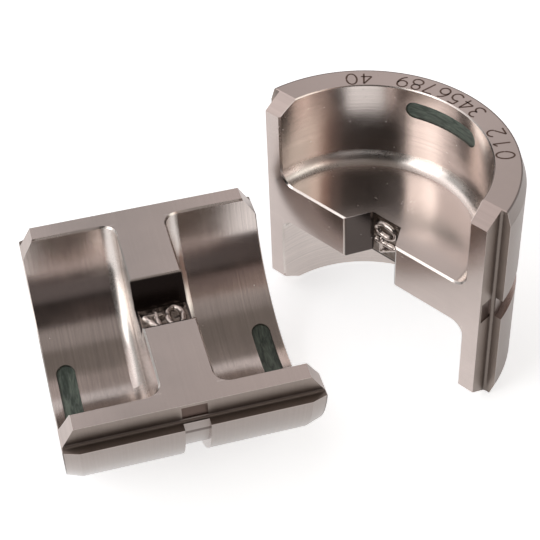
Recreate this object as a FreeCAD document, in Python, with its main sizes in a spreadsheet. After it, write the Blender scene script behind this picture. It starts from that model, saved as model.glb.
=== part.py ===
# Compression die for cable lugs and splices: a matched pair of loose steel half dies.
#
# Each half is a length of round bar, turned, bored and milled. It is modelled in its own
# frame, with x across the half, y along the axis of the bar and z out of the parting face,
# so that all its steel lies below z = 0. One half then lies on its round back and the other
# stands on an end face beside it. Lengths are in millimetres and angles in degrees.
import FreeCAD, Part
import math
import os
import Sketcher

SIZES = {
    # The turned bar.
    "die_length": 34.0,  # length of a half along its axis
    "back_radius": 21.35,  # radius of the round back
    "back_axis_height": 1.1,  # height of the axis of the back over the parting face
    "end_bevel_length": 2.1,  # bevel of the back at an end face, along the axis
    "end_bevel_drop": 0.7,  # bevel of the back at an end face, towards the axis
    # The lips that guide the half in the head of the press.
    "ledge_width": 1.58,  # side of a lip to the edge of the round back
    "ledge_depth": 2.87,  # parting face to the ledge beside a lip
    "cove_radius": 0.4,  # hollow between the side of a lip and its ledge
    "corner_cut_length": 1.85,  # bevel of a parting face corner, along the axis
    "corner_cut_depth": 3.05,  # bevel of a parting face corner, downwards
    # The recess bored into each end.
    "rail_width": 2.75,  # side of a lip to the recess, at the parting face
    "bore_axis_height": 0.6,  # height of the axis of the recess over the parting face
    "mouth_bevel": 0.15,  # bevel at the mouth of the recess
    "root_radius": 2.0,  # hollow where the recess meets the web
    # The web between the recesses, and the half hexagon that crimps the lug.
    "web_thickness": 7.23,  # thickness of the web along the axis
    "nest_mouth_half_width": 4.62,  # half width of the nest at the parting face
    "nest_floor_half_width": 2.58,  # half width of the floor of the nest
    "nest_depth": 3.76,  # parting face to the floor of the nest
    "edge_break": 0.25,  # bevel along the edges of the web and the nest
    # The ring groove round the back, which holds the half in the press.
    "groove_width": 3.35,  # width of the ring groove
    "groove_depth": 1.1,  # depth of the ring groove under the back
    "relief_top": 0.45,  # parting face to the start of the relief in a lip side
    "relief_depth": 0.15,  # depth of the relief in a lip side
    # The colour mark in the wall of each recess.
    "lying_slot_inset": 2.75,  # end face to the middle of a slot of the lying half
    "standing_slot_inset": 3.35,  # end face to the middle of a slot of the standing half
    "slot_width": 2.7,  # width of a slot
    "slot_length": 12.3,  # length of a slot, straight across from end to end
    "slot_depth": 0.6,  # depth of a slot under the wall of the recess
    "paint_thickness": 0.3,  # thickness of the paint in a slot
    "paint_clearance": 0.03,  # clearance round the paint and under it
    # How the two halves are set down.
    "standing_gap": 3.08,  # clearance between the two halves
    "standing_shift": 4.12,  # standing half's origin beyond the lying half's axis
}
ANGLES = {
    "standing_turn": 58.31,  # turn of the standing half away from the lying one
}
# Sizes that follow from the others, so that the lips, the recesses and the back stay matched.
DERIVED = {
    # Middle of the half to the edge of the round back beside a ledge.
    "land_half_width": "=sqrt(back_radius ^ 2 - (back_axis_height + ledge_depth) ^ 2)",
    # Middle of the half to the side of a lip.
    "lip_half_width": "=land_half_width - ledge_width",
    # Radius of the recess.
    "bore_radius": "=sqrt((lip_half_width - rail_width) ^ 2 + bore_axis_height ^ 2)",
}
TITLE_COLUMN = "A"
VALUE_COLUMN = "B"
FIRST_ROW = 1

# How a sketch numbers its own origin, axes and the two ends of a line.
ORIGIN_POINT = (-1, 1)
ACROSS_AXIS = -1
UPWARD_AXIS = -2
LINE_START = 1
LINE_END = 2

SMALL = 1e-6
FULL_TURN = 360
QUARTER_TURN = 90
# How far a cutting outline runs past the steel, a distance that is outside all of it, and
# the lengths of a cut that goes right through along the die and across it.
OVERRUN = "Sizes.back_radius * 0.5"
OUTSIDE = "Sizes.back_radius * 1.5"
THROUGH_ALONG = "Sizes.die_length * 2"
THROUGH_ACROSS = "Sizes.back_radius * 3"
HALVES = ("lying", "standing")
# Each colour mark by its half, its name and the end of the half that it is cut in.
MARKS = (
    ("lying", "left", -1),
    ("lying", "right", 1),
    ("standing", "top", 1),
    ("standing", "bottom", -1),
)


def make_sheet(doc):
    """Put every driving dimension in a spreadsheet cell with an alias of its own."""
    sheet = doc.addObject("Spreadsheet::Sheet", "Sizes")
    cells = {**SIZES, **ANGLES, **DERIVED}
    for row, (alias, value) in enumerate(cells.items(), FIRST_ROW):
        sheet.set(f"{TITLE_COLUMN}{row}", alias)
        sheet.set(f"{VALUE_COLUMN}{row}", str(value))
        sheet.setAlias(f"{VALUE_COLUMN}{row}", alias)
    doc.recompute()
    return sheet


def evaluate(holder, expression):
    """Work out an expression over the sheet's values as a plain number."""
    return float(holder.evalExpression(expression))


def hold_point(sketch, line, expressions):
    """Hold the start of a line at a place given by an expression across and one upwards."""
    rules = (("DistanceX", UPWARD_AXIS), ("DistanceY", ACROSS_AXIS))
    for (kind, axis), expression in zip(rules, expressions):
        distance = evaluate(sketch, expression)
        if abs(distance) < SMALL:
            rule = Sketcher.Constraint("PointOnObject", line, LINE_START, axis)
            sketch.addConstraint(rule)
        else:
            rule = Sketcher.Constraint(kind, *ORIGIN_POINT, line, LINE_START, distance)
            number = sketch.addConstraint(rule)
            sketch.setExpression(f"Constraints[{number}]", expression)


def draw_outline(sketch, corners):
    """Draw a closed outline of straight lines through corners given by expressions."""
    points = [FreeCAD.Vector(*(evaluate(sketch, text) for text in corner)) for corner in corners]
    ends = points[1:] + points[:1]
    lines = [
        sketch.addGeometry(Part.LineSegment(start, end), False)
        for start, end in zip(points, ends)
    ]
    for line, following in zip(lines, lines[1:] + lines[:1]):
        joint = Sketcher.Constraint("Coincident", line, LINE_END, following, LINE_START)
        sketch.addConstraint(joint)
    for line, corner in zip(lines, corners):
        hold_point(sketch, line, corner)


def origin_plane(body, role):
    """Find one of the body's own origin planes by its role."""
    return next(item for item in body.Origin.OriginFeatures if item.Role == role)


def add_sketch(body, name, role, corners, axis_height=None):
    """Add a sketch on an origin plane, raised to the height of the axis that it turns about."""
    sketch = body.newObject("Sketcher::SketchObject", name)
    sketch.AttachmentSupport = [(origin_plane(body, role), "")]
    sketch.MapMode = "FlatFace"
    if axis_height:
        sketch.setExpression("AttachmentOffset.Base.y", axis_height)
    draw_outline(sketch, corners)
    return sketch


def add_turned(body, kind, name, sketch):
    """Turn a sketch through a full circle about its own across axis."""
    feature = body.newObject(kind, name)
    feature.Profile = sketch
    feature.ReferenceAxis = (sketch, ["H_Axis"])
    feature.Angle = FULL_TURN
    return feature


def add_pocket(body, name, sketch, length):
    """Cut a sketch through the steel, half of the length to each side of its plane."""
    pocket = body.newObject("PartDesign::Pocket", name)
    pocket.Profile = sketch
    pocket.SideType = "Symmetric"
    pocket.setExpression("Length", length)
    return pocket


def add_mirrored(body, name, feature, role):
    """Repeat a cut on the other side of one of the body's origin planes."""
    mirrored = body.newObject("PartDesign::Mirrored", name)
    mirrored.Originals = [feature]
    mirrored.MirrorPlane = (origin_plane(body, role), [""])
    body.Tip = mirrored
    return mirrored


def pick_edges(shape, wanted):
    """List the names of the edges that pass a test."""
    return [f"Edge{number}" for number, edge in enumerate(shape.Edges, 1) if wanted(edge)]


def add_edge_feature(body, kind, name, base, wanted, size_name, expression):
    """Round or bevel the edges of the base feature that pass a test."""
    body.Document.recompute()
    feature = body.newObject(kind, name)
    feature.Base = (base, pick_edges(base.Shape, wanted))
    feature.setExpression(size_name, expression)
    return feature


def turn_bar(body, name):
    """Turn the bar, with its bevelled ends, about the axis of the back."""
    end_radius = "-(Sizes.back_radius - Sizes.end_bevel_drop)"
    end = "Sizes.die_length / 2"
    bevel = "(Sizes.die_length / 2 - Sizes.end_bevel_length)"
    corners = [
        (f"-{end}", "0"),
        (f"-{end}", end_radius),
        (f"-{bevel}", "-Sizes.back_radius"),
        (bevel, "-Sizes.back_radius"),
        (end, end_radius),
        (end, "0"),
    ]
    sketch = add_sketch(body, f"{name}_bar_outline", "YZ_Plane", corners, "Sizes.back_axis_height")
    return add_turned(body, "PartDesign::Revolution", f"{name}_bar", sketch)


def mill_parting_face(body, name):
    """Mill the bar down to the parting face."""
    top = f"Sizes.back_axis_height + {OUTSIDE}"
    corners = [(f"-{OUTSIDE}", "0"), (OUTSIDE, "0"), (OUTSIDE, top), (f"-{OUTSIDE}", top)]
    sketch = add_sketch(body, f"{name}_parting_outline", "XZ_Plane", corners)
    return add_pocket(body, f"{name}_parting", sketch, THROUGH_ALONG)


def mill_ledges(body, name):
    """Mill a ledge beside each lip, out to the edge of the round back."""
    outer = f"Sizes.land_half_width + {OVERRUN}"
    corners = [
        ("Sizes.lip_half_width", OVERRUN),
        ("Sizes.lip_half_width", "-Sizes.ledge_depth"),
        (outer, "-Sizes.ledge_depth"),
        (outer, OVERRUN),
    ]
    sketch = add_sketch(body, f"{name}_ledge_outline", "XZ_Plane", corners)
    ledge = add_pocket(body, f"{name}_ledge", sketch, THROUGH_ALONG)
    ledges = add_mirrored(body, f"{name}_ledges", ledge, "YZ_Plane")
    lip = evaluate(body, "Sizes.lip_half_width")
    depth = evaluate(body, "Sizes.ledge_depth")

    def is_ledge_root(edge):
        middle = edge.CenterOfMass
        return abs(abs(middle.x) - lip) < SMALL and abs(middle.z + depth) < SMALL

    return add_edge_feature(
        body, "PartDesign::Fillet", f"{name}_coves", ledges, is_ledge_root,
        "Radius", "Sizes.cove_radius",
    )


def bore_recesses(body, name):
    """Bore a round recess into each end, up to the web, with a rounded root."""
    end = "Sizes.die_length / 2"
    outer = f"{end} + {OVERRUN}"
    corners = [
        ("Sizes.web_thickness / 2", "0"),
        ("Sizes.web_thickness / 2", "-Sizes.bore_radius"),
        (f"{end} - Sizes.mouth_bevel", "-Sizes.bore_radius"),
        (outer, f"-(Sizes.bore_radius + Sizes.mouth_bevel + {OVERRUN})"),
        (outer, "0"),
    ]
    sketch = add_sketch(
        body, f"{name}_recess_outline", "YZ_Plane", corners, "Sizes.bore_axis_height"
    )
    recess = add_turned(body, "PartDesign::Groove", f"{name}_recess", sketch)
    recesses = add_mirrored(body, f"{name}_recesses", recess, "XZ_Plane")
    radius = evaluate(body, "Sizes.bore_radius")
    web_face = evaluate(body, "Sizes.web_thickness / 2")

    def is_root(edge):
        if not isinstance(edge.Curve, Part.Circle):
            return False
        on_web = abs(abs(edge.Curve.Center.y) - web_face) < SMALL
        return on_web and abs(edge.Curve.Radius - radius) < SMALL

    return add_edge_feature(
        body, "PartDesign::Fillet", f"{name}_roots", recesses, is_root,
        "Radius", "Sizes.root_radius",
    )


def mill_nest(body, name):
    """Mill the half hexagon through the web, and break the edges of web and nest."""
    mouth = "Sizes.nest_mouth_half_width"
    floor = "Sizes.nest_floor_half_width"
    corners = [
        (f"-{mouth}", OVERRUN),
        (f"-{mouth}", "0"),
        (f"-{floor}", "-Sizes.nest_depth"),
        (floor, "-Sizes.nest_depth"),
        (mouth, "0"),
        (mouth, OVERRUN),
    ]
    sketch = add_sketch(body, f"{name}_nest_outline", "XZ_Plane", corners)
    nest = add_pocket(body, f"{name}_nest", sketch, "Sizes.web_thickness + Sizes.root_radius")
    web_face = evaluate(body, "Sizes.web_thickness / 2")
    nest_edge = evaluate(body, mouth)

    def is_working_edge(edge):
        middle = edge.CenterOfMass
        if abs(middle.z) > SMALL or not isinstance(edge.Curve, Part.Line):
            return False
        on_web = abs(abs(middle.y) - web_face) < SMALL
        on_nest = abs(middle.y) < SMALL and abs(abs(middle.x) - nest_edge) < SMALL
        return on_web or on_nest

    return add_edge_feature(
        body, "PartDesign::Chamfer", f"{name}_edge_breaks", nest, is_working_edge,
        "Size", "Sizes.edge_break",
    )


def bevel_corners(body, name):
    """Bevel the corners where the parting face meets the two end faces."""
    end = "Sizes.die_length / 2"
    corners = [
        (f"{end} - Sizes.corner_cut_length * 2", "Sizes.corner_cut_depth"),
        (f"{end} + Sizes.corner_cut_length", "-Sizes.corner_cut_depth * 2"),
        (f"{end} + Sizes.corner_cut_length", "Sizes.corner_cut_depth"),
    ]
    sketch = add_sketch(body, f"{name}_corner_outline", "YZ_Plane", corners)
    corner = add_pocket(body, f"{name}_corner", sketch, THROUGH_ACROSS)
    return add_mirrored(body, f"{name}_corners", corner, "XZ_Plane")


def turn_ring_groove(body, name):
    """Turn the ring groove round the back and relieve the lip sides in its width."""
    side = "Sizes.groove_width / 2"
    floor = "-(Sizes.back_radius - Sizes.groove_depth)"
    outer = f"-(Sizes.back_radius + {OVERRUN})"
    corners = [(f"-{side}", floor), (f"-{side}", outer), (side, outer), (side, floor)]
    sketch = add_sketch(
        body, f"{name}_groove_outline", "YZ_Plane", corners, "Sizes.back_axis_height"
    )
    add_turned(body, "PartDesign::Groove", f"{name}_groove", sketch)
    inner = "Sizes.lip_half_width - Sizes.relief_depth"
    ledge = "Sizes.ledge_depth - Sizes.cove_radius"
    corners = [
        (inner, "-Sizes.relief_top"),
        (inner, f"-({ledge})"),
        (OUTSIDE, f"-({ledge})"),
        (OUTSIDE, "-Sizes.relief_top"),
    ]
    sketch = add_sketch(body, f"{name}_relief_outline", "XZ_Plane", corners)
    relief = add_pocket(body, f"{name}_relief", sketch, "Sizes.groove_width")
    return add_mirrored(body, f"{name}_reliefs", relief, "YZ_Plane")


def add_cylinder(doc, name, radius):
    """Add a cylinder about the axis of the recesses that is longer than the die."""
    cylinder = doc.addObject("Part::Cylinder", name)
    cylinder.setExpression("Radius", radius)
    cylinder.setExpression("Height", THROUGH_ALONG)
    cylinder.Placement.Rotation = FreeCAD.Rotation(FreeCAD.Vector(1, 0, 0), -QUARTER_TURN)
    cylinder.setExpression("Placement.Base.y", "-Sizes.die_length")
    cylinder.setExpression("Placement.Base.z", "Sizes.bore_axis_height")
    return cylinder


def add_slot_plug(doc, name, half, side, clearance):
    """Add an upright plug of the slot's long round outline, in one of the recesses."""
    width = f"Sizes.slot_width - 2 * {clearance}"
    inset = f"{side} * (Sizes.die_length / 2 - Sizes.{half}_slot_inset)"
    depth = OUTSIDE
    straight = "((Sizes.slot_length - Sizes.slot_width) / 2)"
    bar = doc.addObject("Part::Box", f"{name}_bar")
    bar.setExpression("Length", f"2 * {straight}")
    bar.setExpression("Width", width)
    bar.setExpression("Height", depth)
    bar.setExpression("Placement.Base.x", f"-{straight}")
    bar.setExpression("Placement.Base.y", f"{inset} - ({width}) / 2")
    bar.setExpression("Placement.Base.z", f"-{depth}")
    parts = [bar]
    for number, sign in enumerate((-1, 1), 1):
        end = doc.addObject("Part::Cylinder", f"{name}_end_{number}")
        end.setExpression("Radius", f"({width}) / 2")
        end.setExpression("Height", depth)
        end.setExpression("Placement.Base.x", f"{sign} * {straight}")
        end.setExpression("Placement.Base.y", inset)
        end.setExpression("Placement.Base.z", f"-{depth}")
        parts.append(end)
    plug = doc.addObject("Part::MultiFuse", f"{name}_plug")
    plug.Shapes = parts
    plug.Refine = True
    return plug


def combine(doc, kind, name, base, tool):
    """Combine two shapes with one of the boolean features."""
    feature = doc.addObject(kind, name)
    feature.Base = base
    feature.Tool = tool
    return feature


def build_half(doc, name):
    """Build one half die in its own frame, with both of its slots."""
    body = doc.addObject("PartDesign::Body", f"{name}_steel")
    turn_bar(body, name)
    mill_parting_face(body, name)
    mill_ledges(body, name)
    bore_recesses(body, name)
    mill_nest(body, name)
    bevel_corners(body, name)
    turn_ring_groove(body, name)
    steel = body
    for number, side in enumerate((-1, 1), 1):
        cut = f"{name}_slot_{number}"
        plug = add_slot_plug(doc, cut, name, side, "0")
        limit = add_cylinder(doc, f"{cut}_limit", "Sizes.bore_radius + Sizes.slot_depth")
        cutter = combine(doc, "Part::Common", f"{cut}_cutter", plug, limit)
        steel = combine(doc, "Part::Cut", f"{cut}_cut", steel, cutter)
    steel.Label = f"die_half_{name}"
    return steel


def build_mark(doc, name, place, side):
    """Build the thin coat of paint on the floor of one slot."""
    label = f"mark_{name}_{place}"
    plug = add_slot_plug(doc, label, name, side, "Sizes.paint_clearance")
    floor = "Sizes.bore_radius + Sizes.slot_depth - Sizes.paint_clearance"
    under = add_cylinder(doc, f"{label}_under", floor)
    over = add_cylinder(doc, f"{label}_over", f"{floor} - Sizes.paint_thickness")
    filled = combine(doc, "Part::Common", f"{label}_filled", plug, under)
    mark = combine(doc, "Part::Cut", f"{label}_coat", filled, over)
    mark.Label = label
    return mark


def rest_places(sheet):
    """Work out where each half rests, with the origin under the middle of the pair."""
    land = sheet.land_half_width
    depth = sheet.back_radius - sheet.back_axis_height
    turn = math.radians(sheet.standing_turn)
    nearest = max(
        math.cos(turn) * sheet.lip_half_width,
        math.cos(turn) * land - math.sin(turn) * sheet.ledge_depth,
    )
    standing_x = sheet.die_length / 2 + sheet.standing_gap + nearest
    right = standing_x + sheet.back_radius - math.sin(turn) * sheet.back_axis_height
    far = sheet.standing_shift + sheet.back_radius - math.cos(turn) * sheet.back_axis_height
    middle = FreeCAD.Vector((right - sheet.die_length / 2) / 2, (far - land) / 2, 0)
    upright = FreeCAD.Rotation(FreeCAD.Vector(1, 0, 0), QUARTER_TURN)
    quarter_turn = FreeCAD.Rotation(FreeCAD.Vector(0, 0, 1), -QUARTER_TURN)
    standing_turn = FreeCAD.Rotation(FreeCAD.Vector(0, 0, 1), -sheet.standing_turn)
    standing = FreeCAD.Vector(standing_x, sheet.standing_shift, sheet.die_length / 2)
    return {
        "lying": FreeCAD.Placement(FreeCAD.Vector(0, 0, depth) - middle, quarter_turn),
        "standing": FreeCAD.Placement(standing - middle, standing_turn * upright),
    }


def check_document(doc, nodes):
    """Stop if any feature failed or if a node has no sound single solid."""
    failed = [item.Name for item in doc.Objects if {"Invalid", "Error"} & set(item.State)]
    if failed:
        raise RuntimeError(f"features failed: {failed}")
    for node in nodes:
        shape = node.Shape
        if shape.isNull() or not shape.isValid() or len(shape.Solids) != 1:
            raise RuntimeError(f"no sound solid in {node.Label}")


def write_steps(nodes):
    """Write each node to a STEP file of its own."""
    os.makedirs("parts", exist_ok=True)
    for node in nodes:
        node.Shape.exportStep(f"parts/{node.Label}.step")


def main():
    """Build the pair, check it and write its files."""
    doc = FreeCAD.newDocument("CompressionDie")
    sheet = make_sheet(doc)
    places = rest_places(sheet)
    nodes = []
    for name in HALVES:
        half = build_half(doc, name)
        half.Placement = places[name]
        nodes.append(half)
    for name, place, side in MARKS:
        mark = build_mark(doc, name, place, side)
        mark.Placement = places[name]
        nodes.append(mark)
    doc.recompute()
    check_document(doc, nodes)
    write_steps(nodes)
    for node in nodes:
        print(node.Label, round(node.Shape.Volume, 2), "mm3")


main()
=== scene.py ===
"""Looks of the matched pair of compression die halves: steel, colour marks, numbers, studio and camera."""

import logging
import math
from dataclasses import dataclass, field
from enum import Enum
from typing import Any

import bpy
import numpy as np
from mathutils import Matrix, Vector

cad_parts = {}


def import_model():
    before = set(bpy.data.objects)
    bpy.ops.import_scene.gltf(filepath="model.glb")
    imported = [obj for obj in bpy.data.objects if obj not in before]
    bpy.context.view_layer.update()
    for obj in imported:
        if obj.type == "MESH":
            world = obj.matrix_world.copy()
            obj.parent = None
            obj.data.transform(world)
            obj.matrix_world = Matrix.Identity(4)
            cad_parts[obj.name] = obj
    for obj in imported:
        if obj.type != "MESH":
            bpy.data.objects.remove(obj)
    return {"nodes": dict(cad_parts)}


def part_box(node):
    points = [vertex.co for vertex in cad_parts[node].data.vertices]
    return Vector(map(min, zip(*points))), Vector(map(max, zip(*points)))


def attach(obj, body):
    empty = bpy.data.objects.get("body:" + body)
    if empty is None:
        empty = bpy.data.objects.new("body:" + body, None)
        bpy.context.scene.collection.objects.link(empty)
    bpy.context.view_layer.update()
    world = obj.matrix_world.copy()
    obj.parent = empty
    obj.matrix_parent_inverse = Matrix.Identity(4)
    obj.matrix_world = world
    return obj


log = logging.getLogger("die_scene")
MM = 0.001
BODY = "root"
Value = Any  # a number, a colour or a node's output socket
# A finish's layers: the Mix node's data type, number of its first input and number of its output.
LAYERS = (("RGBA", 6, 2), ("FLOAT", 2, 0), ("FLOAT", 2, 0), ("FLOAT", 2, 0), ("VECTOR", 4, 1))


def linear(code: str, level: float = 1.0) -> tuple[float, float, float, float]:
    """Turn an sRGB hex colour into linear light.

    Args:
        code: colour as #RRGGBB.
        level: factor on the linear colour.

    Returns:
        Red, green, blue and an alpha of 1.
    """
    parts = [int(code[i:i + 2], 16) / 255 for i in (1, 3, 5)]
    light = [p / 12.92 if p <= 0.04045 else ((p + 0.055) / 1.055) ** 2.4 for p in parts]
    return (light[0] * level, light[1] * level, light[2] * level, 1.0)


def add(tree: bpy.types.NodeTree, kind: str, inputs: dict[Any, Any] | None = None,
        out: int | str = 0, **settings: Any) -> bpy.types.NodeSocket:
    """Add one node, set it and link it.

    Args:
        tree: node tree that takes the node.
        kind: the node's type name without its ShaderNode prefix.
        inputs: for each input name or number, a socket to link or a value to set.
        out: which output to give back.
        settings: attributes of the node.

    Returns:
        The output socket of the new node.
    """
    made = tree.nodes.new("ShaderNode" + kind)
    for name, value in settings.items():
        setattr(made, name, value)
    for key, value in (inputs or {}).items():
        if isinstance(value, bpy.types.NodeSocket):
            tree.links.new(value, made.inputs[key])
        else:
            made.inputs[key].default_value = value
    return made.outputs[out]


@dataclass(frozen=True)
class DieSizes:
    """Sizes of one half in mm, in its own frame: x across, y along the axis, z out of the parting face."""

    length: float = 34.0
    back_radius: float = 21.35
    back_axis: float = 1.1
    bore_radius: float = 16.658
    bore_axis: float = 0.6
    web: float = 7.23
    lip_half_width: float = 19.398
    ledge_depth: float = 2.87
    nest_depth: float = 3.76
    nest_mouth: float = 4.62
    nest_floor: float = 2.58
    groove: float = 3.35
    end_bevel: float = 2.1


@dataclass(frozen=True)
class Place:
    """Where a half stands in the frame: the axes of its own frame as rows, and its origin in mm."""

    name: str
    rows: tuple[tuple[float, float, float], ...]
    origin: tuple[float, float, float]

    def to_frame(self, points: np.ndarray) -> np.ndarray:
        """Carry points of the half's own frame, in mm, into the row frame, in metres.

        Args:
            points: array of n by 3 points in mm.

        Returns:
            The points in metres: the origin plus each own axis times its coordinate.
        """
        return (np.asarray(points, float) @ np.array(self.rows) + np.array(self.origin)) * MM

    def turn(self) -> tuple[float, float, float]:
        """The turn from the row frame to the half's own frame, as XYZ angles."""
        return tuple(Matrix(self.rows).to_euler("XYZ"))

    def shift(self) -> tuple[float, float, float]:
        """What is added after that turn, in mm."""
        return tuple(-(Matrix(self.rows) @ Vector(self.origin)))

    def own_space(self, tree: bpy.types.NodeTree) -> bpy.types.NodeSocket:
        """Carry Object coordinates into the half's own frame, in mm.

        Args:
            tree: node tree of the material.

        Returns:
            The socket of the place in the own frame.
        """
        return add(tree, "Mapping", {"Vector": add(tree, "TexCoord", out="Object"), "Location": self.shift(),
                                     "Rotation": self.turn(), "Scale": (1 / MM,) * 3}, vector_type="POINT")


class Tangent(Enum):
    """The way a cut surface spreads a highlight, square to its tool marks."""

    AXIS = "along the die's axis, where the tool marks run round it"
    RADIAL = "away from the axis, where a face was turned"
    ACROSS = "across the die, where the cutter went along it"


@dataclass(frozen=True)
class Cut:
    """Finish of one cut surface of the steel; marks is how strongly its tool marks show."""

    colour: str
    roughness: float
    anisotropy: float
    tangent: Tangent
    marks: float = 0.0

    def layers(self, tangents: dict[Tangent, Value]) -> tuple[Value, ...]:
        """Colour, roughness, anisotropy, strength of the tool marks and tangent, as LAYERS lists them."""
        return linear(self.colour), self.roughness, self.anisotropy, self.marks, tangents[self.tangent]


@dataclass(frozen=True)
class Masks:
    """Masks from 0 to 1, worked out on the sockets of one node tree."""

    tree: bpy.types.NodeTree

    def above(self, value: Value, edge: float, blur: float = 0.04) -> bpy.types.NodeSocket:
        """1 where value is over edge, 0 under it, over a soft step of blur."""
        return add(self.tree, "MapRange", {"Value": value, "From Min": edge - blur, "From Max": edge + blur})

    def less(self, mask: Value) -> bpy.types.NodeSocket:
        """1 minus a mask."""
        return add(self.tree, "Math", {0: 1.0, 1: mask}, operation="SUBTRACT")

    def both(self, *masks: Value) -> bpy.types.NodeSocket:
        """The product of several masks or numbers.

        Args:
            masks: numbers or sockets.

        Returns:
            The socket of their product.
        """
        total = masks[0]
        for other in masks[1:]:
            total = add(self.tree, "Math", {0: total, 1: other}, operation="MULTIPLY")
        return total

    def from_axis(self, x: Value, z: Value, axis: float) -> bpy.types.NodeSocket:
        """Distance from the line along the die at x 0 and z axis."""
        spot = add(self.tree, "CombineXYZ", {"X": x, "Z": z})
        return add(self.tree, "VectorMath", {0: spot, 1: (0, 0, axis)}, out="Value", operation="DISTANCE")


@dataclass(frozen=True)
class Surface:
    """Sockets of one half's own frame, in mm.

    They are the place as a vector and as x, y and z, the z of the normal, the sizes of x (side) and y
    (ends), the sizes of the normal's x (across) and y (up), and the distances from the bore's and from
    the back's axis.
    """

    own: Value
    x: Value
    y: Value
    z: Value
    nz: Value
    side: Value
    ends: Value
    across: Value
    up: Value
    bore_r: Value
    back_r: Value


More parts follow.
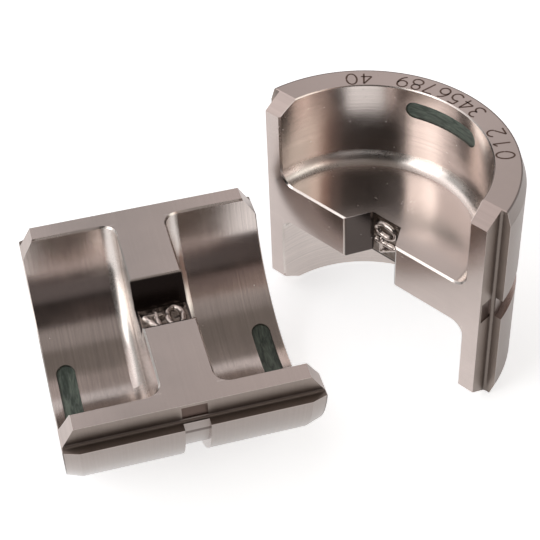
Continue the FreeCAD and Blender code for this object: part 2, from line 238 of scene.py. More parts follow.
@dataclass(frozen=True)
class ToolSteel:
    """Hardened tool steel, turned, bored and ground, then polished with fine cloth: a satin metal whose
    fine tool marks stretch reflections square to themselves."""

    flats: Cut = Cut("#C4B8B3", 0.21, 0.35, Tangent.ACROSS, 0.25)
    back: Cut = Cut("#9A908B", 0.33, 0.95, Tangent.AXIS, 0.5)
    bore: Cut = Cut("#CBC1BC", 0.18, 0.50, Tangent.AXIS, 1.0)
    root: Cut = Cut("#DAD2CD", 0.27, 0.85, Tangent.AXIS, 0.1)
    web_face: Cut = Cut("#CBC1BC", 0.24, 0.75, Tangent.RADIAL, 0.2)
    end_face: Cut = Cut("#C0B5B0", 0.30, 0.55, Tangent.RADIAL, 0.35)
    # The nest, the ledge and the relief patch on the lip are the same steel, drawn darker: painted shade that
    # stands for their shade and dark reflections.
    nest: Cut = Cut("#4E4744", 0.20, 0.30, Tangent.AXIS, 0.2)
    ledge: Cut = Cut("#958A83", 0.42, 0.30, Tangent.AXIS, 0.3)
    relief: Cut = Cut("#5A4C46", 0.30, 0.30, Tangent.AXIS, 0.3)
    edge: Cut = Cut("#D0C8C3", 0.26, 0.20, Tangent.AXIS, 0.0)
    corner: Cut = Cut("#B8ACA7", 0.30, 0.70, Tangent.ACROSS, 0.8)
    # colour of the painted shade in the ledge's root and of the dark line along the end ring's rim
    dark_tone: str = "#2A201C"
    nick: str = "#E4DCD6"
    nicked: float = 0.015  # share of the cells that hold a nick

    def build(self, name: str, place: Place, size: DieSizes) -> bpy.types.Material:
        """Build the steel of one half.

        Args:
            name: name of the material.
            place: where the half stands, so that every mask reads the half's own frame.
            size: sizes that the masks follow.

        Returns:
            The node material.
        """
        mat = bpy.data.materials.new(name)
        mat.use_nodes = True
        t = mat.node_tree
        shader = t.nodes["Principled BSDF"]
        shader.inputs["Metallic"].default_value = 1.0
        masks = Masks(t)
        at = self.surface(masks, place, size)
        ledged, within, regions = self.regions(masks, at, size)
        tangents = self.tangents(t, at, place, size)
        finish = self.flats.layers(tangents)
        for mask, cut in regions:
            finish = tuple(
                add(t, "Mix", {"Factor": mask, first: old, first + 1: new}, out=out, data_type=kind)
                for (kind, first, out), old, new in zip(LAYERS, finish, cut.layers(tangents)))
        colour, rough, aniso, marks, tangent = finish
        painted, worn, bump = self.wear_and_shade(masks, at, size, (colour, rough, marks), (ledged, within))
        for key, socket in (("Base Color", painted), ("Roughness", worn), ("Anisotropic", aniso),
                            ("Tangent", tangent), ("Normal", bump)):
            t.links.new(socket, shader.inputs[key])
        return mat

    def surface(self, masks: Masks, place: Place, size: DieSizes) -> Surface:
        """Read place and facing in the half's own frame.

        Args:
            masks: masks on the material's tree.
            place: where the half stands.
            size: heights of the two axes.

        Returns:
            The sockets that the masks read.
        """
        t = masks.tree
        own = place.own_space(t)
        facing = add(t, "Mapping", {"Vector": add(t, "TexCoord", out="Normal"), "Rotation": place.turn()},
                     vector_type="VECTOR")
        x, y, z = [add(t, "SeparateXYZ", {0: own}, out=i) for i in range(3)]
        nx, ny, nz = [add(t, "SeparateXYZ", {0: facing}, out=i) for i in range(3)]
        side, ends, across, up = [add(t, "Math", {0: value}, operation="ABSOLUTE")
                                  for value in (x, y, nx, ny)]
        return Surface(own, x, y, z, nz, side, ends, across, up, masks.from_axis(x, z, size.bore_axis),
                       masks.from_axis(x, z, size.back_axis))

    def regions(self, masks: Masks, at: Surface,
                size: DieSizes) -> tuple[Value, Value, list[tuple[Value, Cut]]]:
        """Find each cut surface from the sizes; a later region covers an earlier one.

        Each edge is set 0.02 to 0.1 mm inside its size, so that a rounded edge goes with the right face.

        Args:
            masks: masks on the material's tree.
            at: sockets of the half's own frame.
            size: sizes that the masks follow.

        Returns:
            The masks of the ledge and of all inside the bore, and each region's mask with its cut.
        """
        above, both, less = masks.above, masks.both, masks.less
        # The bored recesses, their webs and roots, the end faces and the round back. Up is 1 on a flat
        # end, 0 on a face that runs along the die and in between in a root.
        flat_end = above(at.up, 0.97, 0.02)
        within = less(above(at.bore_r, size.bore_radius + 0.06))
        past_web = above(at.ends, size.web / 2 - 0.05)
        recess = both(within, past_web, less(above(at.ends, size.length / 2 - 0.02, 0.01)))
        on_back = both(above(at.back_r, size.back_radius - 1.5), less(above(at.z, -size.ledge_depth - 0.1)),
                       less(flat_end))
        bored = both(recess, less(above(at.up, 0.05, 0.03)), above(at.bore_r, size.bore_radius - 0.1, 0.05))
        webbed = both(recess, flat_end)
        rooted = both(recess, above(at.up, 0.06, 0.03), less(flat_end))
        ended = both(flat_end, above(at.ends, size.length / 2 - 0.5))
        # The milled nest, the ledge beside the lip, and the hollow of the ring groove in the lip.
        in_nest = both(less(past_web), less(above(at.side, size.nest_mouth + 0.3)),
                       less(above(at.z, -0.12, 0.05)), less(above(at.bore_r, 9.0)), less(above(at.up, 0.6)))
        ledged = both(above(at.side, size.lip_half_width - 0.06, 0.03),
                      above(at.z, -size.ledge_depth - 0.06, 0.03), less(above(at.z, -0.03, 0.02)),
                      less(flat_end))
        relieved = both(above(at.side, size.lip_half_width - 0.3),
                        less(above(at.side, size.lip_half_width - 0.07, 0.03)),
                        above(at.across, 0.9), less(above(at.ends, size.groove / 2 + 0.05)),
                        less(above(at.z, -0.4)))
        # Broken edges beside the parting face, which lean out of it, and the wider ones at its corners.
        slant = both(above(at.nz, 0.3), less(above(at.nz, 0.93, 0.03)), less(in_nest), less(recess),
                     less(ledged))
        cornered = both(slant, above(at.ends, size.length / 2 - size.end_bevel - 0.2), above(at.side, 15.0))
        return ledged, within, [
            (on_back, self.back), (bored, self.bore), (rooted, self.root), (webbed, self.web_face),
            (ended, self.end_face), (in_nest, self.nest), (ledged, self.ledge), (slant, self.edge),
            (cornered, self.corner), (relieved, self.relief)]

    def tangents(self, tree: bpy.types.NodeTree, at: Surface, place: Place,
                 size: DieSizes) -> dict[Tangent, Value]:
        """Give the direction, in the row frame, in which each kind of cut spreads its highlight.

        Args:
            tree: node tree of the material.
            at: sockets of the half's own frame.
            place: where the half stands.
            size: height of the bore's axis.

        Returns:
            A vector or a socket for each kind.
        """
        axes = Matrix(place.rows)
        back = tuple(axes.transposed().to_euler("XYZ"))
        rise = add(tree, "Math", {0: at.z, 1: size.bore_axis}, operation="SUBTRACT")
        outwards = add(tree, "CombineXYZ", {"X": at.x, "Z": rise})
        radial = add(tree, "Mapping", {"Vector": outwards, "Rotation": back}, vector_type="VECTOR")
        return {Tangent.AXIS: tuple(axes[1]), Tangent.ACROSS: tuple(axes[0]), Tangent.RADIAL: radial}

    def nicks(self, masks: Masks, at: Surface) -> bpy.types.NodeSocket:
        """Nicks from conductors: dots of 0.15 mm and scratches of 0.1 by 0.8 mm, in a share of the cells.

        A nick is the middle of a Voronoi cell, out to a reach in cells. A cell has one where the red of
        its random colour is over 1 minus the share.

        Args:
            masks: masks on the material's tree.
            at: sockets of the half's own frame.

        Returns:
            A mask of the nicks.
        """
        t = masks.tree
        total: Value = 0.0
        for turned, scale, reach in (((0.0, 0.0, 0.0), (0.8, 0.8, 0.8), 0.07),
                                     ((0.6, 0.3, 0.9), (0.35, 1.6, 1.1), 0.09),
                                     ((-0.5, 0.9, -0.4), (0.4, 1.5, 1.3), 0.08)):
            spot = add(t, "Mapping", {"Vector": at.own, "Rotation": turned, "Scale": scale})
            gap, cell = [add(t, "TexVoronoi", {"Vector": spot, "Scale": 1.0}, out=out)
                         for out in ("Distance", "Color")]
            picked = masks.above(add(t, "SeparateXYZ", {0: cell}), 1 - self.nicked, 0.005)
            nick = masks.both(masks.less(masks.above(gap, reach, 0.025)), picked)
            total = add(t, "Math", {0: total, 1: nick}, operation="MAXIMUM")
        return total

    def wear_and_shade(self, masks: Masks, at: Surface, size: DieSizes, finish: tuple[Value, Value, Value],
             regions: tuple[Value, Value]) -> tuple[Value, Value, Value]:
        """Add tool marks, cloudy wear, painted shade in the ledge's root, a dark line along the end ring's rim,
        and nicks.

        Args:
            masks: masks on the material's tree.
            at: sockets of the half's own frame.
            size: sizes that the painted shade and the dark line follow.
            finish: colour, roughness and strength of the tool marks.
            regions: masks of the ledge and of all inside the bore.

        Returns:
            Colour, roughness and bumped normal.
        """
        t, above, both, less = masks.tree, masks.above, masks.both, masks.less
        colour, rough, marks = finish
        ledged, within = regions
        # Rings round the axis on turned surfaces. Their real feed of 0.1 mm is too fine for the render, so
        # they are drawn 0.3 mm apart and broken up.
        turn = add(t, "Math", {0: at.x, 1: at.z}, operation="ARCTAN2")
        ring_space = add(t, "CombineXYZ", {"X": at.y, "Y": both(turn, 0.6)})
        ring_scale = add(t, "Mapping", {"Vector": ring_space, "Scale": (3.4, 0.8, 1)})
        rings = add(t, "TexNoise", {"Vector": ring_scale, "Scale": 1.0, "Detail": 5.0, "Roughness": 0.65})
        # Clouds of 6 mm from handling and polishing, and grit of 0.2 mm.
        cloud = add(t, "TexNoise", {"Vector": at.own, "Scale": 0.16, "Detail": 4.0, "Roughness": 0.6})
        grit = add(t, "TexNoise", {"Vector": at.own, "Scale": 6.0, "Detail": 2.0, "Roughness": 0.5})
        ring_part, cloud_part, grit_part = [add(t, "Math", {0: noise, 1: 0.5}, operation="SUBTRACT")
                                            for noise in (rings, cloud, grit)]
        ring_shade = add(t, "Math", {0: ring_part, 1: both(marks, 0.5), 2: 1.0}, operation="MULTIPLY_ADD")
        cloud_shade = add(t, "Math", {0: cloud_part, 1: 0.22, 2: 1.0}, operation="MULTIPLY_ADD")
        painted = add(t, "Mix", {"Factor": 1.0, 6: colour, 7: both(ring_shade, cloud_shade)}, out=2,
                      data_type="RGBA", blend_type="MULTIPLY")
        # Painted shade darkens the root of the ledge, and a dark line runs along the rim of the end ring.
        root_gap = add(t, "VectorMath", {0: add(t, "CombineXYZ", {"X": at.side, "Y": at.z}),
                                         1: (size.lip_half_width, -size.ledge_depth, 0)}, out="Value",
                       operation="DISTANCE")
        root_shade = add(t, "MapRange", {"Value": root_gap, "From Min": 1.25, "From Max": 0.35})
        rim = both(above(at.ends, size.length / 2 - 0.16, 0.03), above(at.back_r, size.back_radius - 0.88),
                   less(above(at.z, -0.5)))
        dark_tone = add(t, "Math", {0: both(root_shade, ledged, 0.4), 1: both(rim, 0.6)}, operation="MAXIMUM")
        painted = add(t, "Mix", {"Factor": dark_tone, 6: painted, 7: linear(self.dark_tone)}, out=2, data_type="RGBA")
        # A nick is paler than the bore and scatters its reflections.
        nicks = both(self.nicks(masks, at), within)
        painted = add(t, "Mix", {"Factor": both(nicks, 0.5), 6: painted, 7: linear(self.nick)}, out=2,
                      data_type="RGBA")
        worn = add(t, "Math", {0: cloud_part, 1: 0.12, 2: rough}, operation="MULTIPLY_ADD")
        worn = add(t, "Math", {0: grit_part, 1: 0.06, 2: worn}, operation="MULTIPLY_ADD")
        worn = add(t, "Mix", {"Factor": nicks, 2: worn, 3: 0.5}, data_type="FLOAT")
        relief = add(t, "Math", {0: grit, 1: 0.15, 2: rings}, operation="MULTIPLY_ADD")
        bump = add(t, "Bump", {"Strength": 0.25, "Distance": 0.00002, "Height": both(relief, marks)})
        return painted, worn, bump


@dataclass(frozen=True)
class MarkPaint:
    """Dark green-grey marking lacquer, brushed into a slot: semi-gloss, streaky, thin at the rim."""

    colour: str = "#34403A"
    streak: str = "#77857A"
    roughness: float = 0.34

    def build(self, name: str, place: Place) -> bpy.types.Material:
        """Build the paint of one half's marks.

        Args:
            name: name of the material.
            place: where the half stands, so that the streaks run along the slot.

        Returns:
            The node material.
        """
        mat = bpy.data.materials.new(name)
        mat.use_nodes = True
        t = mat.node_tree
        shader = t.nodes["Principled BSDF"]
        # Brush streaks of 0.6 by 3 mm, long across the die as the slots are.
        along = add(t, "Mapping", {"Vector": place.own_space(t), "Scale": (0.35, 1.6, 0.35)})
        streaks = add(t, "TexNoise", {"Vector": along, "Scale": 1.0, "Detail": 6.0, "Roughness": 0.7,
                                      "Distortion": 0.6})
        step = add(t, "MapRange", {"Value": streaks, "From Min": 0.42, "From Max": 0.72})
        colour = add(t, "Mix", {"Factor": step, 6: linear(self.colour), 7: linear(self.streak)}, out=2,
                     data_type="RGBA")
        rough = add(t, "MapRange", {"Value": streaks, "To Min": self.roughness - 0.08,
                                    "To Max": self.roughness + 0.25})
        bump = add(t, "Bump", {"Strength": 0.5, "Distance": 0.00008, "Height": streaks})
        for key, socket in (("Base Color", colour), ("Roughness", rough), ("Normal", bump)):
            t.links.new(socket, shader.inputs[key])
        return mat


@dataclass(frozen=True)
class FloorPaper:
    """White matt paper: it stays white to the camera and in reflections, and takes the shadow."""

    colour: str = "#EEF2F5"
    lift: float = 0.66

    def build(self) -> bpy.types.Material:
        """Build the paper: a diffuse white, and a lift that camera, glossy and clear rays see.

        Returns:
            The node material.
        """
        mat = bpy.data.materials.new("studio_paper")
        mat.use_nodes = True
        t = mat.node_tree
        shader = t.nodes["Principled BSDF"]
        shader.inputs["Base Color"].default_value = linear(self.colour)
        shader.inputs["Roughness"].default_value = 0.9
        shader.inputs["Specular IOR Level"].default_value = 0.0
        seen: Value = 0.0
        for ray in ("Is Camera Ray", "Is Glossy Ray", "Is Transmission Ray"):
            seen = add(t, "Math", {0: seen, 1: add(t, "LightPath", out=ray)}, operation="MAXIMUM")
        strength = add(t, "Math", {0: seen, 1: self.lift}, operation="MULTIPLY")
        glow = add(t, "Emission", {"Color": (1, 1, 1, 1), "Strength": strength})
        total = add(t, "AddShader", {0: shader.outputs[0], 1: glow})
        t.links.new(total, t.nodes["Material Output"].inputs["Surface"])
        return mat


@dataclass(frozen=True)
class Panel:
    """One soft panel of the studio, in degrees: azimuth 0 is away from the viewer and 90 to the right."""

    azimuth: float
    elevation: float
    half_width: float
    half_height: float
    edge: float
    strength: float
    colour: str = "#FFFFFF"


@dataclass
class Studio:
    """Plain soft studio round the pair, on a white floor.

    A strong soft box stands at the left and a smaller one behind the viewer's right shoulder. Weak panels
    fill in between them and from above, and the rest of the room is nearly dark.
    """

    base: float = 0.01
    base_colour: str = "#FFF6F0"
    panels: list[Panel] = field(default_factory=lambda: [
        Panel(175, 64, 24, 10.5, 4, 0.18, "#FFF7F8"),  # high, over the viewer
        Panel(0, 80, 180, 26.0, 4, 0.20, "#FFF2E8"),  # ceiling
        Panel(20, 15, 10, 17.5, 4, 0.98, "#FFF3F4"),  # low strip at the back
        Panel(-106.5, 26, 16.5, 28.0, 5, 2.8, "#FFFDFB"),  # strong soft box at the left
        Panel(-180, 13, 9, 15.5, 4, 0.16, "#FFF1EF"),  # low, behind the viewer
        Panel(-70, 26, 32, 28.0, 4, 0.48, "#FCFFFF"),  # fill beside the soft box
        Panel(150, 26, 10, 28.0, 4, 0.46, "#FFD2BE"),  # warm, behind the viewer at the right
        Panel(-35, 43, 73, 10.5, 4, 0.53, "#FFFFFF"),  # band round the left and the back
        Panel(90, 43, 82, 10.5, 4, 0.26, "#FFE5DD"),  # band round the right
        Panel(130, 43, 20, 10.5, 4, 1.70, "#FDFFF7"),  # smaller soft box behind the viewer
        Panel(-45, 54, 44, 21.0, 4, 0.73, "#FFF2F1"),  # high, at the back left
    ])
    floor_half: float = 4.0
    floor_height: float = -2e-5

    def light(self) -> None:
        """Build the world: each panel adds its strength over its own span of azimuth and elevation.

        A panel's share is one smooth step of the distance from its middle in azimuth times one in
        elevation. Both steps go from 1 to 0 over its edge.
        """
        world = bpy.data.worlds.new("studio")
        bpy.context.scene.world = world
        world.use_nodes = True
        t = world.node_tree
        direction = add(t, "TexCoord", out="Generated")
        x, y, z = [add(t, "SeparateXYZ", {0: direction}, out=i) for i in range(3)]
        azimuth, elevation = [
            add(t, "Math", {0: angle, 1: 180 / math.pi}, operation="MULTIPLY")
            for angle in (add(t, "Math", {0: x, 1: y}, operation="ARCTAN2"),
                          add(t, "Math", {0: z}, operation="ARCSINE"))]
        total: Value = linear(self.base_colour, self.base)
        for p in self.panels:
            turn, rise = [add(t, "Math", {0: angle, 1: middle}, operation="SUBTRACT")
                          for angle, middle in ((azimuth, p.azimuth), (elevation, p.elevation))]
            turn = add(t, "Math", {0: turn, 1: 180.0, 2: -180.0}, operation="WRAP")
            wide, tall = [
                add(t, "MapRange", {"Value": add(t, "Math", {0: gap}, operation="ABSOLUTE"),
                                    "From Min": half + p.edge, "From Max": half - p.edge},
                    interpolation_type="SMOOTHSTEP")
                for gap, half in ((turn, p.half_width), (rise, p.half_height))]
            mask = add(t, "Math", {0: wide, 1: tall}, operation="MULTIPLY")
            total = add(t, "Mix", {"Factor": mask, 6: total, 7: linear(p.colour, p.strength)}, out=2,
                        data_type="RGBA", blend_type="ADD")
        t.links.new(total, t.nodes["Background"].inputs["Color"])
        t.nodes["Background"].inputs["Strength"].default_value = 1.0

    def floor(self) -> None:
        """Lay the paper that the pair rests on, just under it."""
        h, low = self.floor_half, self.floor_height
        mesh = bpy.data.meshes.new("floor")
        mesh.from_pydata([(-h, -h, low), (h, -h, low), (h, h, low), (-h, h, low)], [], [(0, 1, 2, 3)])
        mesh.materials.append(FloorPaper().build())
        floor = bpy.data.objects.new("floor", mesh)
        bpy.context.collection.objects.link(floor)


@dataclass(frozen=True)
class PhotoCamera:
    """The photograph's camera: place and lens in mm, and its right, down and forward axes."""

    place: tuple[float, float, float] = (-33.9784, -140.41654, 154.62061)
    right: tuple[float, float, float] = (0.96389287, -0.26509862, -0.02516456)
    down: tuple[float, float, float] = (-0.19814155, -0.65086989, -0.73287674)
    forward: tuple[float, float, float] = (0.17790576, 0.71140081, -0.6798959)
    lens: float = 96.393
    shift: tuple[float, float] = (-0.03393, -0.015963)

    def build(self) -> None:
        """Set up the camera."""
        data = bpy.data.cameras.new("photo_camera")
        data.sensor_width, data.lens = 36.0, self.lens
        data.shift_x, data.shift_y = self.shift
        data.clip_start, data.clip_end = 0.01, 20.0
        camera = bpy.data.objects.new("photo_camera", data)
        up, back = -Vector(self.down), -Vector(self.forward)
        turn = Matrix((Vector(self.right), up, back)).transposed().to_4x4()
        camera.matrix_world = Matrix.Translation(Vector(self.place) * MM) @ turn
        bpy.context.collection.objects.link(camera)
        bpy.context.scene.camera = camera


def arc(cx: float, cy: float, rx: float, ry: float, start: float, stop: float) -> np.ndarray:
    """Points of an ellipse's arc: centre plus radii times cosine and sine of an angle from start to stop.

    There is a point about every 9 degrees.

    Args:
        cx: centre to the right.
        cy: centre upwards.
        rx: radius to the right.
        ry: radius upwards.
        start: first angle in degrees.
        stop: last angle in degrees.

    Returns:
        Array of n by 2 points.
    """
    turn = np.radians(np.linspace(start, stop, max(8, int(abs(stop - start) / 9))))
    return np.stack([cx + rx * np.cos(turn), cy + ry * np.sin(turn)], 1)


def line(*points: tuple[float, float]) -> np.ndarray:
    """Points along a straight stroke: the first times one minus a share plus the last times it.

    Args:
        points: the stroke's first and last point.

    Returns:
        Array of 9 by 2 points, evenly spaced.
    """
    ends = np.array(points, float)
    share = np.linspace(0, 1, 9)[:, None]
    return ends[0] * (1 - share) + ends[-1] * share


@dataclass(frozen=True)
class SingleStrokeDigits:
    """Digits of a pantograph cutter: each is a few strokes in a box one high and 0.62 wide."""

    width: float = 0.62

    def strokes(self, digit: str) -> list[np.ndarray]:
        """The strokes of one digit.

        Args:
            digit: one character from 0 to 9.

        Returns:
            A list of n by 2 arrays.
        """
        six = [arc(0.31, 0.30, 0.29, 0.30, 0, 360), arc(0.66, 0.34, 0.64, 0.66, 180, 106)]
        return {
            "0": [arc(0.31, 0.5, 0.30, 0.5, 0, 360)],
            "1": [line((0.12, 0.78), (0.35, 1.0)), line((0.35, 1.0), (0.35, 0.0))],
            "2": [arc(0.31, 0.70, 0.28, 0.30, 168, -38), line((0.53, 0.52), (0.02, 0.0)),
                  line((0.02, 0.0), (0.62, 0.0))],
            "3": [arc(0.29, 0.745, 0.25, 0.255, 150, -90), arc(0.29, 0.255, 0.30, 0.255, 90, -150)],
            "4": [line((0.46, 0.0), (0.46, 1.0)), line((0.46, 1.0), (0.0, 0.30)),
                  line((0.0, 0.30), (0.64, 0.30))],
            "5": [line((0.56, 1.0), (0.12, 1.0)), line((0.12, 1.0), (0.07, 0.56)),
                  arc(0.29, 0.33, 0.31, 0.33, 132, -150)],
            "6": six,
            "7": [line((0.02, 1.0), (0.62, 1.0)), line((0.62, 1.0), (0.22, 0.0))],
            "8": [arc(0.31, 0.755, 0.24, 0.245, 0, 360), arc(0.31, 0.265, 0.30, 0.265, 0, 360)],
            "9": [np.array([self.width, 1.0]) - s for s in six],
        }[digit]


def ribbon(path: np.ndarray, width: float) -> tuple[np.ndarray, np.ndarray]:
    """A flat ribbon along a path with round ends.

    Each point goes out to both sides along the path's normal by half the width. Within that distance of
    an end the half width shrinks as a quarter circle, but not under a sixth of it.

    Args:
        path: n by 2 points.
        width: width of the ribbon.

    Returns:
        Points (2n by 2) and quads (n - 1 by 4).
    """
    step = np.linalg.norm(np.diff(path, axis=0), axis=1)
    run = np.concatenate([[0.0], np.cumsum(step)])
    half = width / 2
    fine = np.unique(np.concatenate([np.linspace(0, half, 5), run[(run > half) & (run < run[-1] - half)],
                                     run[-1] - np.linspace(half, 0, 5)]))
    points = np.stack([np.interp(fine, run, path[:, i]) for i in (0, 1)], 1)
    way = np.gradient(points, axis=0)
    way /= np.linalg.norm(way, axis=1, keepdims=True)
    normal = np.stack([-way[:, 1], way[:, 0]], 1)
    near = np.minimum(np.minimum(fine, run[-1] - fine) / half, 1.0)
    out = half * np.sqrt(np.maximum(1 - (1 - near) ** 2, 0.03))[:, None]
    both = np.concatenate([points + normal * out, points - normal * out])
    n = len(points)
    i = np.arange(n - 1)
    return both, np.stack([i, i + n, i + n + 1, i + 1], 1)


def make_piece(name: str, points: np.ndarray, faces: np.ndarray, material: bpy.types.Material) -> bpy.types.Object:
    """Put points and faces into a new piece that rides on the die's body.

    Args:
        name: name of the piece.
        points: n by 3 points in the row frame, in metres.
        faces: m by 4 point numbers.
        material: its finish.

    Returns:
        The new object, at the origin.
    """
    mesh = bpy.data.meshes.new(name)
    mesh.from_pydata(points.tolist(), [], faces.tolist())
    mesh.validate()
    mesh.polygons.foreach_set("use_smooth", np.ones(len(mesh.polygons), bool))
    mesh.materials.append(material)
    piece = bpy.data.objects.new(name, mesh)
    bpy.context.collection.objects.link(piece)
    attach(piece, BODY)
    log.info("made %s with %d faces", name, len(faces))
    return piece


@dataclass(frozen=True)
class EngravedStroke:
    """Bottom of an engraved stroke, laid flat on the ring: its dark, dull colour is painted shade of the groove.
    """

    colour: str = "#4E3D36"
    lighter: str = "#7A6459"
    roughness: float = 0.5

    def build(self) -> bpy.types.Material:
        """Build the stroke's finish.

        Returns:
            The node material.
        """
        mat = bpy.data.materials.new("engraved_stroke")
        mat.use_nodes = True
        t = mat.node_tree
        shader = t.nodes["Principled BSDF"]
        shader.inputs["Metallic"].default_value = 0.6
        shader.inputs["Roughness"].default_value = self.roughness
        # Grains of 0.4 mm in the tone of the painted shade.
        dark_tone = add(t, "TexNoise", {"Vector": add(t, "TexCoord", out="Object"), "Scale": 2500.0,
                                    "Detail": 3.0})
        colour = add(t, "Mix", {"Factor": dark_tone, 6: linear(self.colour), 7: linear(self.lighter)}, out=2,
                     data_type="RGBA")
        t.links.new(colour, shader.inputs["Base Color"])
        return mat


@dataclass
class EndNumbers:
    """Plain numbers on the upper end ring of the standing half, their tops towards the bore.

    Sizes are in mm. Each group is its digits, the angle of the first one and the pitch, in degrees. The
    strokes lie clear of the ring by the lift, so that the two faces don't share a plane.
    """

    size: DieSizes
    place: Place
    height: float = 2.45
    stroke: float = 0.27
    radius: float = 18.25
    lift: float = 0.004
    groups: tuple[tuple[str, float, float], ...] = (
        ("012", -14.2, 7.7), ("3456789", 17.2, 6.55), ("40", 72.9, 6.6))

    def build(self, material: bpy.types.Material) -> bpy.types.Object:
        """Lay every stroke flat on the ring: up is towards the axis, and the row runs anticlockwise.

        Args:
            material: finish of the strokes.

        Returns:
            The piece.
        """
        digits = SingleStrokeDigits()
        rows = np.array(self.place.rows)
        centre = np.array(self.place.origin) + rows[2] * self.size.bore_axis
        points, faces, count = [], [], 0
        for text, first, pitch in self.groups:
            for i, digit in enumerate(text):
                angle = math.radians(first + pitch * i)
                out = np.array([math.cos(angle), math.sin(angle)])
                right, up = np.array([-out[1], out[0]]), -out
                for path in digits.strokes(digit):
                    flat, quads = ribbon((path - [digits.width / 2, 0.5]) * self.height, self.stroke)
                    plane = centre[:2] + out * self.radius + flat[:, :1] * right + flat[:, 1:] * up
                    points.append(np.column_stack([plane, np.full(len(plane), self.size.length + self.lift)]))
                    faces.append(quads + count)
                    count += len(flat)
        all_points, all_faces = np.concatenate(points) * MM, np.concatenate(faces)
        return make_piece("end_numbers", all_points, all_faces, material)


@dataclass(frozen=True)
class StruckSteel:
    """Steel struck by a die number punch, with painted shade in the hollows and a painted highlight on the crests.
    """

    crest: str = "#BDB2AC"
    hollow: str = "#70665F"

    def build(self, name: str, place: Place, low: float, high: float) -> bpy.types.Material:
        """Build the finish.

        Args:
            name: name of the material.
            place: where the half stands.
            low: height of the hollows in the half's own frame, in mm.
            high: height of the crests.

        Returns:
            The node material.
        """
        mat = bpy.data.materials.new(name)
        mat.use_nodes = True
        t = mat.node_tree
        shader = t.nodes["Principled BSDF"]
        shader.inputs["Metallic"].default_value = 1.0
        own = place.own_space(t)
        z = add(t, "SeparateXYZ", {0: own}, out=2)
        # Painted shade in the hollows and a painted highlight on the crests: the colour goes from dark to light
        # with height.
        lighter = add(t, "MapRange", {"Value": z, "From Min": low + 0.06, "From Max": high - 0.03})
        # Grain of 0.2 mm, left by the punch.
        grain = add(t, "TexNoise", {"Vector": own, "Scale": 5.0, "Detail": 4.0})
        colour = add(t, "Mix", {"Factor": lighter, 6: linear(self.hollow), 7: linear(self.crest)}, out=2,
                     data_type="RGBA")
        rough = add(t, "MapRange", {"Value": grain, "To Min": 0.12, "To Max": 0.30})
        bump = add(t, "Bump", {"Strength": 0.35, "Distance": 0.00006, "Height": grain})
        for key, socket in (("Base Color", colour), ("Roughness", rough), ("Normal", bump)):
            t.links.new(socket, shader.inputs[key])
        return mat


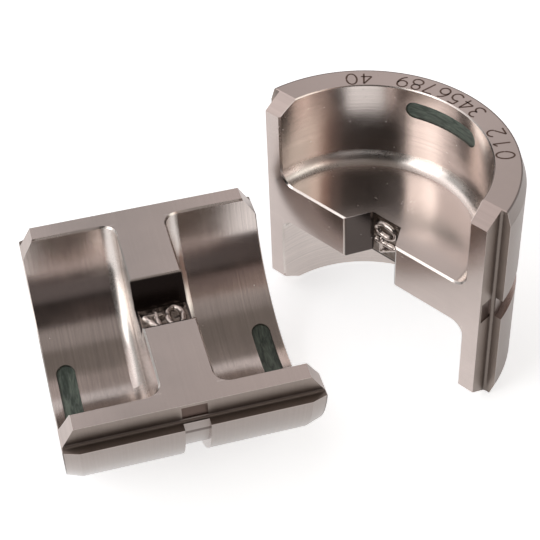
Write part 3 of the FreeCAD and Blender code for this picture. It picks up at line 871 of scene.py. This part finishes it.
@dataclass
class NestRelief:
    """Plain digits raised on the floor of a nest, as a height field over the flat of the nest, in mm."""

    size: DieSizes
    place: Place
    text: str = "40"
    height: float = 3.5
    pitch: float = 2.95
    stroke: float = 0.85
    rise: float = 0.42
    bed: float = 0.05
    ripple: float = 0.02
    rim: float = 0.2
    side_gap: float = 0.12
    end_gap: float = 0.32
    step: float = 0.07

    def build(self, material: bpy.types.Material) -> bpy.types.Object:
        """Work out the height of each point of a grid and lay the sheet on the nest's floor.

        The height is the rise times the root of a cap: one minus the square of the distance to the nearest
        stroke over half the stroke's width. The bed and its slow ripples stand for the struck floor, and
        all of it falls to the nest's own floor over the rim.

        Args:
            material: finish of the relief.

        Returns:
            The piece.
        """
        half_x, half_y = self.size.nest_floor - self.side_gap, self.size.web / 2 - self.end_gap
        u = np.arange(-half_y, half_y + 1e-6, self.step)
        v = np.arange(-half_x, half_x + 1e-6, self.step)
        grid_u, grid_v = np.meshgrid(u, v, indexing="ij")
        spots = np.stack([grid_u.ravel(), grid_v.ravel()], 1)
        near = np.full(len(spots), np.inf)
        digits = SingleStrokeDigits()
        for i, digit in enumerate(self.text):
            middle = (i - (len(self.text) - 1) / 2) * self.pitch
            for path in digits.strokes(digit):
                local = (path - [digits.width / 2, 0.5]) * self.height + [middle, 0]
                a, b = local[:-1], local[1:]
                way = b - a
                share = np.clip(((spots[:, None] - a) * way).sum(2) / (way ** 2).sum(1), 0, 1)
                gap = np.linalg.norm(spots[:, None] - (a + share[..., None] * way), axis=2).min(1)
                near = np.minimum(near, gap)
        cap = np.clip(1 - (near / (self.stroke / 2)) ** 2, 0, 1)
        waves = self.ripple * (np.sin(3.1 * spots[:, 0] + 1.3 * np.sin(2.3 * spots[:, 1]))
                               + np.sin(4.3 * spots[:, 1] + 1.1 * np.sin(2.9 * spots[:, 0])))
        inwards = np.minimum(half_y - np.abs(spots[:, 0]), half_x - np.abs(spots[:, 1]))
        above = np.clip(inwards / self.rim, 0, 1) * (self.rise * np.sqrt(cap) + self.bed + waves)
        up = -self.size.nest_depth + 0.01 + above
        own = np.column_stack([spots[:, 1], spots[:, 0], up])
        n, m = len(u), len(v)
        at = np.arange(n * m).reshape(n, m)
        faces = np.stack([at[:-1, :-1], at[:-1, 1:], at[1:, 1:], at[1:, :-1]], -1).reshape(-1, 4)
        points = self.place.to_frame(own)
        first = points[faces[0]]
        facing = np.cross(first[1] - first[0], first[2] - first[0]) @ np.array(self.place.rows)[2]
        if facing < 0:
            faces = faces[:, ::-1]
        return make_piece(f"nest_relief_{self.place.name}", points, faces, material)


def places(size: DieSizes) -> dict[str, Place]:
    """Where the two halves stand.

    Args:
        size: sizes of a half.

    Returns:
        The lying and the standing half's place.
    """
    lying = Place("lying", ((0, -1, 0), (1, 0, 0), (0, 0, 1)),
                  (-16.842, -1.957, size.back_radius - size.back_axis))
    # The standing half is turned by this much about the upright, and its round back is farthest out at
    # the two far sides of its box.
    turn = math.radians(58.31)
    s, c = math.sin(turn), math.cos(turn)
    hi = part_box("die_half_standing")[1]
    origin = (hi[0] / MM - size.back_radius + s * size.back_axis,
              hi[1] / MM - size.back_radius + c * size.back_axis, size.length / 2)
    standing = Place("standing", ((c, -s, 0), (0, 0, 1), (-s, -c, 0)), origin)
    return {"lying": lying, "standing": standing}


def write_sizes() -> None:
    """Bring the view layer up to date.
    """
    bpy.context.view_layer.update()


def main() -> None:
    """Build the scene in order: frame, camera, studio, then the finishes of each half."""
    logging.basicConfig(level=logging.INFO, format="%(message)s")
    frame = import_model()
    bpy.context.view_layer.update()
    bpy.context.scene.view_settings.view_transform = "Standard"
    size = DieSizes()
    PhotoCamera().build()
    studio = Studio()
    studio.light()
    studio.floor()
    # The standing half has seen more use: its recess is nicked, and the lying one's hardly is.
    steels = {"lying": ToolSteel(), "standing": ToolSteel(nicked=0.10)}
    halves = places(size)
    for name, place in halves.items():
        steel = steels[name].build(f"tool_steel_{name}", place, size)
        paint = MarkPaint().build(f"mark_paint_{name}", place)
        for node, ob in frame["nodes"].items():
            if name not in node:
                continue
            for slot in ob.material_slots:
                slot.material = steel if node.startswith("die_half") else paint
            log.info("dressed %s", node)
        relief = NestRelief(size, place)
        struck = StruckSteel().build(f"struck_steel_{name}", place, -size.nest_depth,
                                     relief.rise - size.nest_depth)
        relief.build(struck)
    EndNumbers(size, halves["standing"]).build(EngravedStroke().build())
    write_sizes()


if __name__ == "__main__":
    main()
